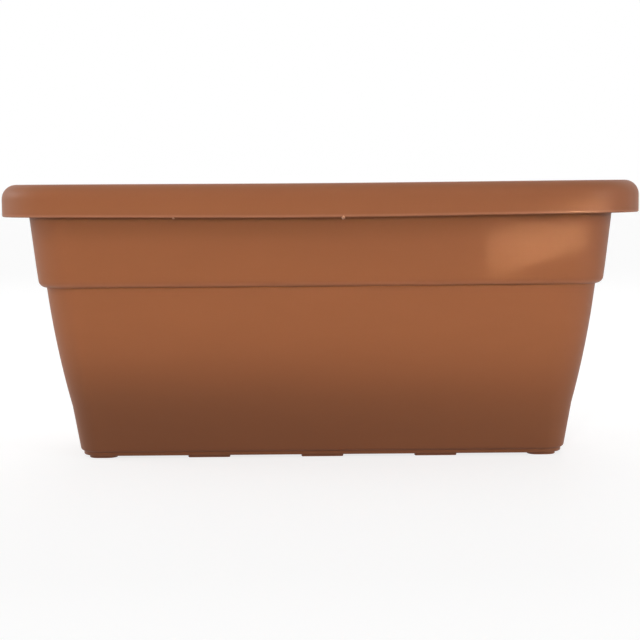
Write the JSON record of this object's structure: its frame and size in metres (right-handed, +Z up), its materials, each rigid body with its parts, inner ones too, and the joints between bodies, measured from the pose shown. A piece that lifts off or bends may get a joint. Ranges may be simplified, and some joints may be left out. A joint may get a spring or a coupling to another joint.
{
  "type": "window box planter",
  "caption": "Long moulded window box planter with a rolled rim, an upper band and low feet, holding a lift-out reservoir grid over drain plugs.",
  "frame": {"origin": "on the ground under the middle of the box", "axes": "+X along the box, +Y from the pictured front to the back, +Z up"},
  "size_m": [0.4, 0.2, 0.176],
  "materials": {
    "terracotta_plastic": "satin moulded polypropylene",
    "grid_plastic": "satin moulded polypropylene",
    "plug_rubber": "matt black rubber"
  },
  "bodies": {
    "box": {"planter_box": "terracotta_plastic"},
    "grid": {"reservoir_grid": "grid_plastic"},
    "plug_1": {"drain_plug_1": "plug_rubber"},
    "plug_2": {"drain_plug_2": "plug_rubber"},
    "plug_3": {"drain_plug_3": "plug_rubber"},
    "plug_4": {"drain_plug_4": "plug_rubber"}
  },
  "joints": [
    {"name": "grid_lift", "type": "slide", "parent": "box", "child": "grid", "axis": [0, 0, 1], "range_m": [0, 0.17]},
    {"name": "plug_1_pull", "type": "slide", "parent": "box", "child": "plug_1", "axis": [0, 0, 1], "range_m": [0, 0.012]},
    {"name": "plug_2_pull", "type": "slide", "parent": "box", "child": "plug_2", "axis": [0, 0, 1], "range_m": [0, 0.012]},
    {"name": "plug_3_pull", "type": "slide", "parent": "box", "child": "plug_3", "axis": [0, 0, 1], "range_m": [0, 0.012]},
    {"name": "plug_4_pull", "type": "slide", "parent": "box", "child": "plug_4", "axis": [0, 0, 1], "range_m": [0, 0.012]}
  ]
}
